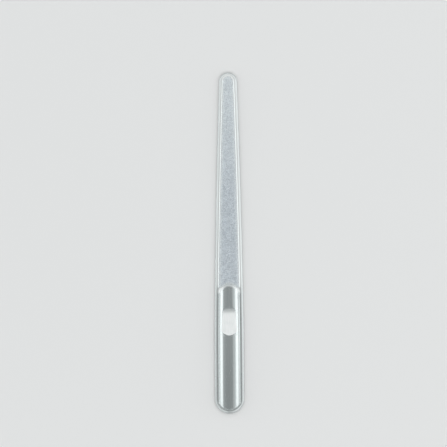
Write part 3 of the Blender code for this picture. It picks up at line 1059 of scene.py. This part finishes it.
def steel_normal(tree, masks):
    """Shallow streaks, marks and scratches, and the satin's fine grain."""
    normal = bumped(tree, masks["streak heights"], distance=0.00002, strength=0.35)
    normal = bumped(tree, masks["mark heights"], distance=0.000004, strength=0.40, normal=normal)
    normal = bumped(tree, masks["scratches"], distance=0.000004, strength=-0.35, normal=normal)
    blasted = combined(tree, "MULTIPLY", masks["satin"], masks["scuffs"])
    return bumped(tree, blasted, distance=0.000020, strength=0.6, normal=normal)


def polished_steel(mottle, polish):
    """Bright pressed steel: lengthwise polishing marks, a few crossing scratches, a hazy bloom, a faint dull
    film where a hand holds it, scuffed edges, and satin in the thumb rest and on the margins, whose
    near-white colour is partly painted light."""
    colour = (0.60, 0.62, 0.62)
    material, tree, surface, place = new_material("polished_steel", colour, metallic=1.0, roughness=0.18)
    masks = steel_masks(tree, place, mottle, polish)
    tree.links.new(steel_colour(tree, place, masks), surface.inputs["Base Color"])
    tree.links.new(steel_roughness(tree, masks), surface.inputs["Roughness"])
    tree.links.new(steel_normal(tree, masks), surface.inputs["Normal"])
    return material


def grit_clumps(tree, mottle, place):
    """Patches the size of a few grains, the same on the grains and on the bond between them."""
    scales = {"Coarse_Scale": 800.0, "Fine_Scale": 2000.0, "Fine_Share": 0.65, "Spread": 0.13}
    return placed_group(tree, mottle, place, **scales)["Mask"]


def bond_metal(mottle):
    """The dull plated metal between the grains, darker in patches."""
    colour = (0.72, 0.73, 0.735)
    material, tree, surface, place = new_material("bond_metal", colour, metallic=1.0, roughness=0.55)
    link = tree.links.new
    grain = placed_group(tree, mottle, place, Coarse_Scale=900.0, Fine_Scale=9000.0, Fine_Share=0.5)["Mask"]
    own = mixed_colour(tree, grain, BOND_DARK, BOND_LIGHT)
    patched = mapped(tree, grit_clumps(tree, mottle, place), BOND_PATCH_SHARE, 0.0)
    link(mixed_colour(tree, patched, own, BOND_PATCH), surface.inputs["Base Color"])
    link(mapped(tree, grain, *BOND_ROUGHNESS), surface.inputs["Roughness"])
    link(bumped(tree, grain, distance=0.00006, strength=0.8), surface.inputs["Normal"])
    return material


def sapphire_grains(mottle):
    """Crushed light grey sapphire: every grain has its own tone, clumps of grains are lighter or darker, and
    painted light makes the field a little lighter towards the tip and along its edge."""
    colour = (0.5, 0.55, 0.58)
    material, tree, surface, place = new_material("sapphire_grains", colour, metallic=0.0, roughness=0.3)
    link = tree.links.new
    surface.inputs["IOR"].default_value = SAPPHIRE_IOR
    tone = carried(tree, "tone")
    own = mixed_colour(tree, tone, GRAIN_DARK, GRAIN_LIGHT)
    patched = mapped(tree, grit_clumps(tree, mottle, place), GRAIN_PATCH_SHARE, 0.0)
    clumped = mixed_colour(tree, patched, own, GRAIN_PATCH)
    # Painted light: grains lighter near the field's sides and the ridge's hollow
    edge_light = up_to(tree, carried(tree, "edge"), GRAIN_EDGE_LIGHT_SHARE)
    edge_lit = mixed_colour(tree, edge_light, clumped, GRAIN_PAINTED_LIGHT_AT_EDGE)
    along = split(tree, place)["Y"]
    # Painted light: the grains grow lighter towards the tip
    tip_light = mapped(tree, along, 0.0, GRAIN_TIP_LIGHT_SHARE, TIP_LIGHT_FROM_Y, TIP_LIGHT_FULL_Y)
    link(mixed_colour(tree, tip_light, edge_lit, GRAIN_PAINTED_LIGHT_NEAR_TIP), surface.inputs["Base Color"])
    link(mapped(tree, tone, *GRAIN_ROUGHNESS), surface.inputs["Roughness"])
    return material


# The object

def make_steel_body(steel):
    body = add_piece("pressed_steel_body", skin("pressed_steel_body", steel_rings()), steel)
    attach(body, BODY)
    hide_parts("steel_body")


def make_abrasive(side, steel_z, outwards, tree, bond, sapphire):
    """One face's bond coat and its grains, whose centres lie just over the coat. Their lower ends are
    bedded in it and their tips are level."""
    coat_name = side + "_plated_bond"
    coat = add_piece(coat_name, coat_mesh(coat_name, steel_z, outwards), bond)
    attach(coat, BODY)
    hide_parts(side + "_bond_coat")
    coat_z = steel_z + outwards * BOND_THICKNESS
    tips_z = coat_z + outwards * GRIT_THICKNESS
    centre_z = coat_z + outwards * GRIT_THICKNESS * GRAIN_CENTRE_SHARE
    bed_z = steel_z + outwards * BOND_THICKNESS * GRAIN_BED_SHARE
    lowest_z, highest_z = sorted((bed_z, tips_z))
    seed = GRAIN_SEED if outwards > 0 else GRAIN_SEED + 1
    grains = scattered_grains(side + "_grains", tree, centre_z, lowest_z, highest_z, seed, sapphire)
    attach(grains, BODY)
    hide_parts(side + "_sapphire_grit")


# Floor, light and camera

def make_floor():
    low, high = -FLOOR_REACH, FLOOR_REACH
    corners = [(low, low, FLOOR_Z), (high, low, FLOOR_Z), (high, high, FLOOR_Z), (low, high, FLOOR_Z)]
    mesh = bpy.data.meshes.new("floor")
    mesh.from_pydata(corners, [], [(0, 1, 2, 3)])
    material = new_material("pale_floor", FLOOR_COLOUR, metallic=0.0, roughness=0.6)[0]
    add_piece("floor", mesh, material)


def make_world():
    """Even light, darker overhead and past the file's ends than at its sides, as the steel shows it."""
    world = bpy.data.worlds.new("studio")
    bpy.context.scene.world = world
    world.use_nodes = True
    tree = world.node_tree
    background = tree.nodes["Background"]
    direction = split(tree, node(tree, "ShaderNodeTexCoord").outputs["Generated"])
    lowness = mapped(tree, direction["Z"], 1.0, 0.0, WALL_TOP_SINE, 1.0)
    curve = node(tree, "ShaderNodeMath", "slow near the top", operation="POWER")
    tree.links.new(lowness, curve.inputs[0])
    curve.inputs[1].default_value = CEILING_CURVE
    across = combined(tree, "MULTIPLY", direction["X"], direction["X"])
    along = combined(tree, "MULTIPLY", direction["Y"], direction["Y"])
    sideness = combined(tree, "DIVIDE", across, combined(tree, "ADD", across, along))
    ends = mapped(tree, direction["Y"], BUTT_WALL_LEVEL, TIP_WALL_LEVEL, -1.0, 1.0)
    walls = mixed_value(tree, sideness, ends, SIDE_WALL_LEVEL)
    level = mixed_value(tree, curve.outputs["Value"], CEILING_LEVEL, walls)
    tree.links.new(level, background.inputs["Strength"])
    background.inputs["Color"].default_value = LIGHT_COLOUR


def add_softbox(name, turn, low, high, length, radiance):
    """A lamp that fills low to high degrees off straight up, then is turned about the vertical. Its length
    runs level, and radiance 1 is white."""
    middle = math.radians((low + high) / 2)
    width = 2 * LAMP_DISTANCE * math.tan(math.radians((high - low) / 2))
    lamp = bpy.data.lights.new(name, "AREA")
    lamp.shape = "RECTANGLE"
    lamp.size = length
    lamp.size_y = width
    lamp.energy = radiance * math.pi * width * length
    box = linked(name, lamp)
    facing = Euler((middle, 0, math.radians(turn)))
    box.rotation_euler = facing
    box.location = FILE_MIDDLE + facing.to_matrix() @ Vector((0, 0, LAMP_DISTANCE))
    box.visible_camera = False


def make_lights():
    """Long lamps low at both sides, a weak one over the right one, and small ones off the corners, which
    light the round ends."""
    add_softbox("left_softbox", turn=-90, low=59, high=87, length=SIDE_LAMP_LENGTH, radiance=1.0)
    add_softbox("right_softbox", turn=90, low=57.5, high=87, length=SIDE_LAMP_LENGTH, radiance=1.0)
    add_softbox("right_fill_softbox", turn=90, low=32, high=57.5, length=SIDE_LAMP_LENGTH, radiance=0.26)
    for side, turn in (("left", -END_LAMP_TURN), ("right", END_LAMP_TURN)):
        add_softbox("handle_end_" + side, turn, low=42, high=60, length=END_LAMP_LENGTH, radiance=1.6)
        add_softbox("tip_end_" + side, 180 - turn, low=30, high=52, length=END_LAMP_LENGTH, radiance=1.2)


def make_camera():
    """Straight over the file, with the photo's frame and lean."""
    data = bpy.data.cameras.new("camera")
    data.lens = CAMERA_LENS
    data.clip_start = CAMERA_CLIP_START
    data.clip_end = CAMERA_CLIP_END
    camera = linked("camera", data)
    bpy.context.scene.camera = camera
    view_width = PHOTO_WIDTH_PX * METRES_PER_PX
    camera.location = (*CAMERA_PLACE, view_width / 2 / math.tan(data.angle / 2))
    camera.rotation_euler = (0, 0, math.radians(PHOTO_LEAN_DEGREES))


# Build
mottle = mottle_group()
polish = polish_group()
steel = polished_steel(mottle, polish)
bond = bond_metal(mottle)
sapphire = sapphire_grains(mottle)
grain_scatter = grain_tree()

make_steel_body(steel)
make_abrasive("front", BLADE_FRONT_Z, 1, grain_scatter, bond, sapphire)
make_abrasive("back", BLADE_BACK_Z, -1, grain_scatter, bond, sapphire)
make_floor()
make_world()
make_lights()
make_camera()

bpy.context.scene.view_settings.view_transform = "Standard"
